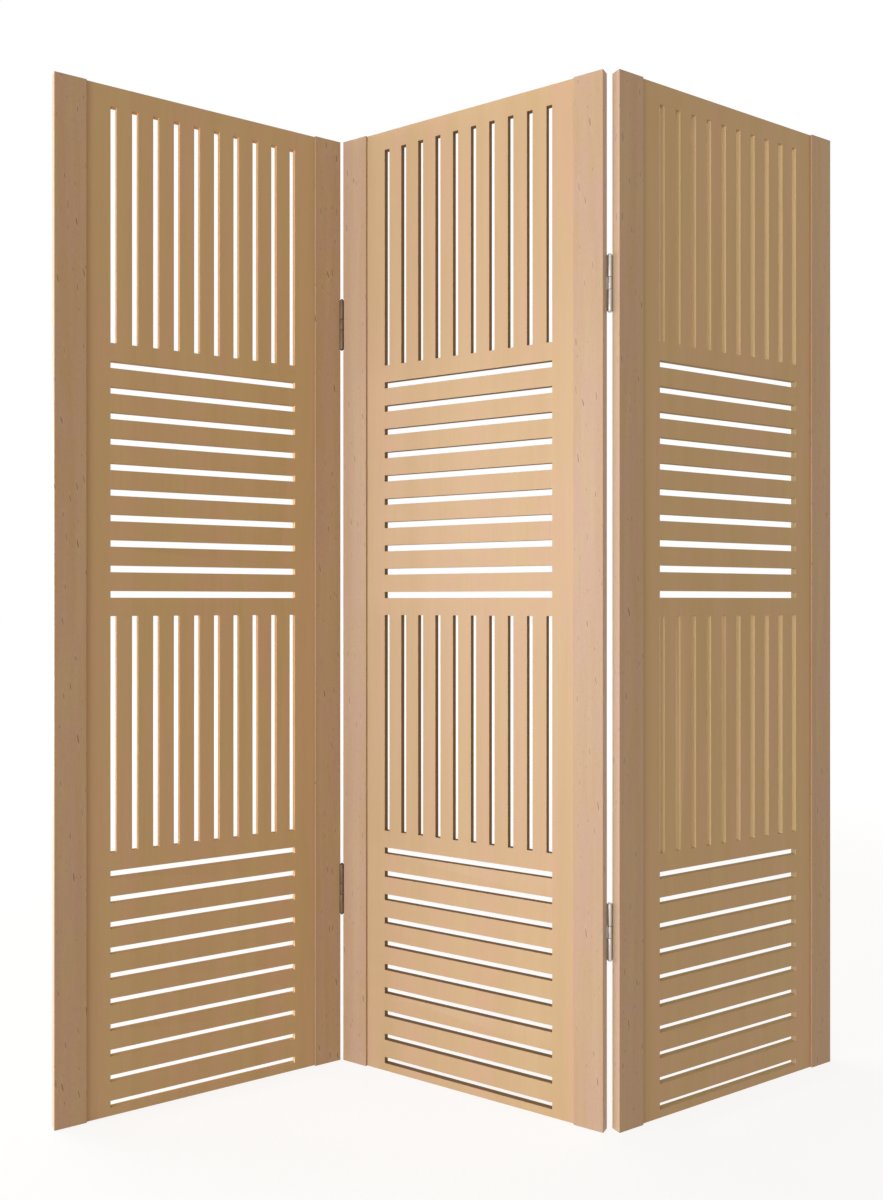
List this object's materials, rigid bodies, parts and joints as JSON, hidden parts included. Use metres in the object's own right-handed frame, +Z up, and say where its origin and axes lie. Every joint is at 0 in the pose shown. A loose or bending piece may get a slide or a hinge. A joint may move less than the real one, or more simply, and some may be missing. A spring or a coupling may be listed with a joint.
{
  "type": "folding screen",
  "caption": "Free-standing folding screen. Hinged upright leaves, each a pair of wooden stiles around a slotted lattice board, fold flat against each other on steel butt hinges.",
  "frame": {"origin": "on the floor, at the centre of the footprint of the screen as it stands in its zigzag", "axes": "+Z up; the screen is seen from the -Y side, with its left leaf at -X and its right leaf at +X"},
  "size_m": [1.3508, 0.2672, 1.7],
  "materials": {
    "stile_wood": "satin clear finish on pale steamed beech with short dark flecks",
    "board_wood": "satin, smooth golden beige with faint upright bands",
    "hinge_steel": "polished, lightly brushed"
  },
  "bodies": {
    "centre_leaf": {"centre_leaf_left_stile": "stile_wood", "centre_leaf_slotted_board": "board_wood", "centre_leaf_right_stile": "stile_wood", "left_upper_hinge_centre_flap": "hinge_steel", "left_upper_hinge_centre_screw_1": "hinge_steel", "left_upper_hinge_centre_screw_2": "hinge_steel", "left_upper_hinge_centre_screw_3": "hinge_steel", "left_lower_hinge_centre_flap": "hinge_steel", "left_lower_hinge_centre_screw_1": "hinge_steel", "left_lower_hinge_centre_screw_2": "hinge_steel", "left_lower_hinge_centre_screw_3": "hinge_steel", "right_upper_hinge_centre_flap": "hinge_steel", "right_upper_hinge_centre_screw_1": "hinge_steel", "right_upper_hinge_centre_screw_2": "hinge_steel", "right_upper_hinge_centre_screw_3": "hinge_steel", "right_lower_hinge_centre_flap": "hinge_steel", "right_lower_hinge_centre_screw_1": "hinge_steel", "right_lower_hinge_centre_screw_2": "hinge_steel", "right_lower_hinge_centre_screw_3": "hinge_steel", "left_upper_hinge_pin": "hinge_steel", "left_lower_hinge_pin": "hinge_steel", "right_upper_hinge_pin": "hinge_steel", "right_lower_hinge_pin": "hinge_steel"},
    "left_leaf": {"left_leaf_left_stile": "stile_wood", "left_leaf_slotted_board": "board_wood", "left_leaf_right_stile": "stile_wood", "left_upper_hinge_leaf_flap": "hinge_steel", "left_upper_hinge_leaf_screw_1": "hinge_steel", "left_upper_hinge_leaf_screw_2": "hinge_steel", "left_upper_hinge_leaf_screw_3": "hinge_steel", "left_lower_hinge_leaf_flap": "hinge_steel", "left_lower_hinge_leaf_screw_1": "hinge_steel", "left_lower_hinge_leaf_screw_2": "hinge_steel", "left_lower_hinge_leaf_screw_3": "hinge_steel"},
    "right_leaf": {"right_leaf_left_stile": "stile_wood", "right_leaf_slotted_board": "board_wood", "right_leaf_right_stile": "stile_wood", "right_upper_hinge_leaf_flap": "hinge_steel", "right_upper_hinge_leaf_screw_1": "hinge_steel", "right_upper_hinge_leaf_screw_2": "hinge_steel", "right_upper_hinge_leaf_screw_3": "hinge_steel", "right_lower_hinge_leaf_flap": "hinge_steel", "right_lower_hinge_leaf_screw_1": "hinge_steel", "right_lower_hinge_leaf_screw_2": "hinge_steel", "right_lower_hinge_leaf_screw_3": "hinge_steel"}
  },
  "joints": [
    {"name": "left_fold", "type": "hinge", "parent": "centre_leaf", "child": "left_leaf", "pos_m": [-0.2272, 0.11931, 0], "axis": [0, 0, 1], "range_deg": [-60, 120]},
    {"name": "right_fold", "type": "hinge", "parent": "centre_leaf", "child": "right_leaf", "pos_m": [0.22545, -0.12009, 0], "axis": [0, 0, 1], "range_deg": [-60, 120]}
  ]
}
